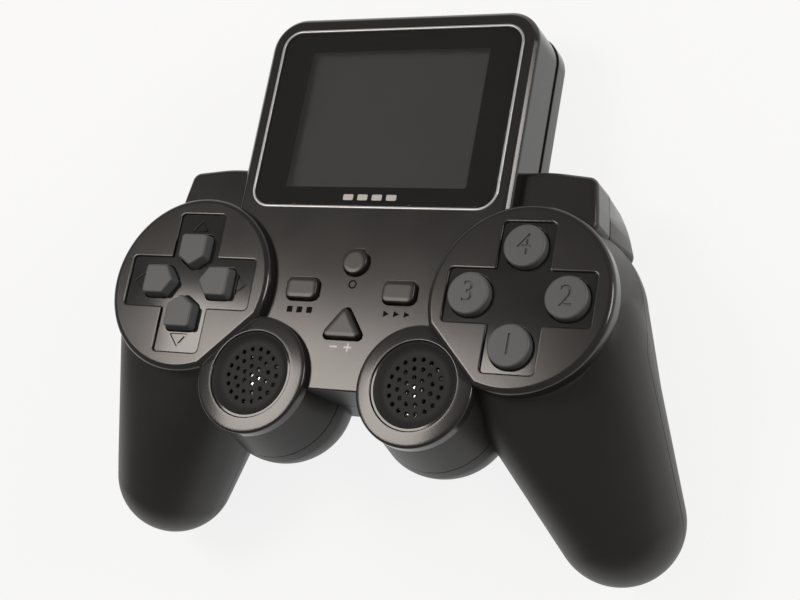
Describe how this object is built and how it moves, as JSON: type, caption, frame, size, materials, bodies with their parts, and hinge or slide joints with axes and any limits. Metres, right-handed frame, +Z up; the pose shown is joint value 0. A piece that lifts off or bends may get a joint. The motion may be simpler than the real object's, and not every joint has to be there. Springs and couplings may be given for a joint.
{
  "type": "handheld game console",
  "caption": "Gamepad-shaped handheld game console with a raised screen block, direction keys, round action buttons, centre buttons, speaker pots and two grips.",
  "frame": {"origin": "on the surface that the console rests on, below the middle of its box", "axes": "+X to the player's right, +Y from the grips towards the top of the screen, +Z up from the surface; the face looks up and leans back by the resting tilt"},
  "size_m": [0.1544, 0.1356, 0.051],
  "materials": {
    "case_plastic": "satin black moulded ABS with a fine spark texture",
    "key_plastic": "satin dark grey moulded ABS",
    "lens_acrylic": "polished acrylic, printed black behind the border",
    "bright_trim": "bright silver ring",
    "display_glass": "display switched off",
    "circuit_board": "green solder mask on glass-epoxy",
    "chip_epoxy": "moulded epoxy",
    "flex_film": "polyimide film and flat ribbon",
    "membrane_rubber": "silicone rubber",
    "speaker_metal": "pressed steel basket and paper cone",
    "battery_can": "wrapped aluminium can",
    "contact_brass": "gold-flashed spring contacts",
    "plated_steel": "nickel-plated steel"
  },
  "bodies": {
    "case": {"front_shell": "case_plastic", "rear_shell": "case_plastic", "screen_trim": "bright_trim", "screen_lens": "lens_acrylic", "lcd_panel": "display_glass", "lcd_flex": "flex_film", "main_board": "circuit_board", "processor": "chip_epoxy", "memory_chip": "chip_epoxy", "dpad_membrane": "membrane_rubber", "action_membrane": "membrane_rubber", "centre_membrane": "membrane_rubber", "grille_left": "case_plastic", "grille_right": "case_plastic", "speaker_left": "speaker_metal", "speaker_right": "speaker_metal", "battery": "battery_can", "battery_contacts": "contact_brass", "battery_lead": "flex_film", "port_board": "circuit_board", "port_ribbon": "flex_film", "charging_port": "plated_steel", "power_switch": "plated_steel", "board_screws": "plated_steel", "case_screws": "plated_steel"},
    "dpad_up_body": {"dpad_up": "key_plastic"},
    "dpad_right_body": {"dpad_right": "key_plastic"},
    "dpad_down_body": {"dpad_down": "key_plastic"},
    "dpad_left_body": {"dpad_left": "key_plastic"},
    "action_1_body": {"action_1": "key_plastic"},
    "action_2_body": {"action_2": "key_plastic"},
    "action_3_body": {"action_3": "key_plastic"},
    "action_4_body": {"action_4": "key_plastic"},
    "select_button_body": {"select_button": "key_plastic"},
    "start_button_body": {"start_button": "key_plastic"},
    "reset_button_body": {"reset_button": "key_plastic"},
    "volume_button_body": {"volume_button": "key_plastic"},
    "power_slider_body": {"power_slider": "key_plastic"},
    "battery_cover_body": {"battery_cover": "case_plastic"}
  },
  "joints": [
    {"name": "dpad_up_press", "type": "slide", "parent": "case", "child": "dpad_up_body", "axis": [0, -0.271, -0.9626], "range_m": [0, 0.0012], "stiffness_N_per_m": 400},
    {"name": "dpad_right_press", "type": "slide", "parent": "case", "child": "dpad_right_body", "axis": [0, -0.271, -0.9626], "range_m": [0, 0.0012], "stiffness_N_per_m": 400},
    {"name": "dpad_down_press", "type": "slide", "parent": "case", "child": "dpad_down_body", "axis": [0, -0.271, -0.9626], "range_m": [0, 0.0012], "stiffness_N_per_m": 400},
    {"name": "dpad_left_press", "type": "slide", "parent": "case", "child": "dpad_left_body", "axis": [0, -0.271, -0.9626], "range_m": [0, 0.0012], "stiffness_N_per_m": 400},
    {"name": "action_1_press", "type": "slide", "parent": "case", "child": "action_1_body", "axis": [0, -0.271, -0.9626], "range_m": [0, 0.0012], "stiffness_N_per_m": 400},
    {"name": "action_2_press", "type": "slide", "parent": "case", "child": "action_2_body", "axis": [0, -0.271, -0.9626], "range_m": [0, 0.0012], "stiffness_N_per_m": 400},
    {"name": "action_3_press", "type": "slide", "parent": "case", "child": "action_3_body", "axis": [0, -0.271, -0.9626], "range_m": [0, 0.0012], "stiffness_N_per_m": 400},
    {"name": "action_4_press", "type": "slide", "parent": "case", "child": "action_4_body", "axis": [0, -0.271, -0.9626], "range_m": [0, 0.0012], "stiffness_N_per_m": 400},
    {"name": "select_button_press", "type": "slide", "parent": "case", "child": "select_button_body", "axis": [0, -0.271, -0.9626], "range_m": [0, 0.0008], "stiffness_N_per_m": 400},
    {"name": "start_button_press", "type": "slide", "parent": "case", "child": "start_button_body", "axis": [0, -0.271, -0.9626], "range_m": [0, 0.0008], "stiffness_N_per_m": 400},
    {"name": "reset_button_press", "type": "slide", "parent": "case", "child": "reset_button_body", "axis": [0, -0.271, -0.9626], "range_m": [0, 0.0008], "stiffness_N_per_m": 400},
    {"name": "volume_button_press", "type": "slide", "parent": "case", "child": "volume_button_body", "axis": [0, -0.271, -0.9626], "range_m": [0, 0.0008], "stiffness_N_per_m": 400},
    {"name": "power_slide", "type": "slide", "parent": "case", "child": "power_slider_body", "axis": [1, 0, 0], "range_m": [0, 0.0025]},
    {"name": "cover_slide", "type": "slide", "parent": "case", "child": "battery_cover_body", "axis": [0, 0.9626, -0.271], "range_m": [0, 0.01]}
  ]
}
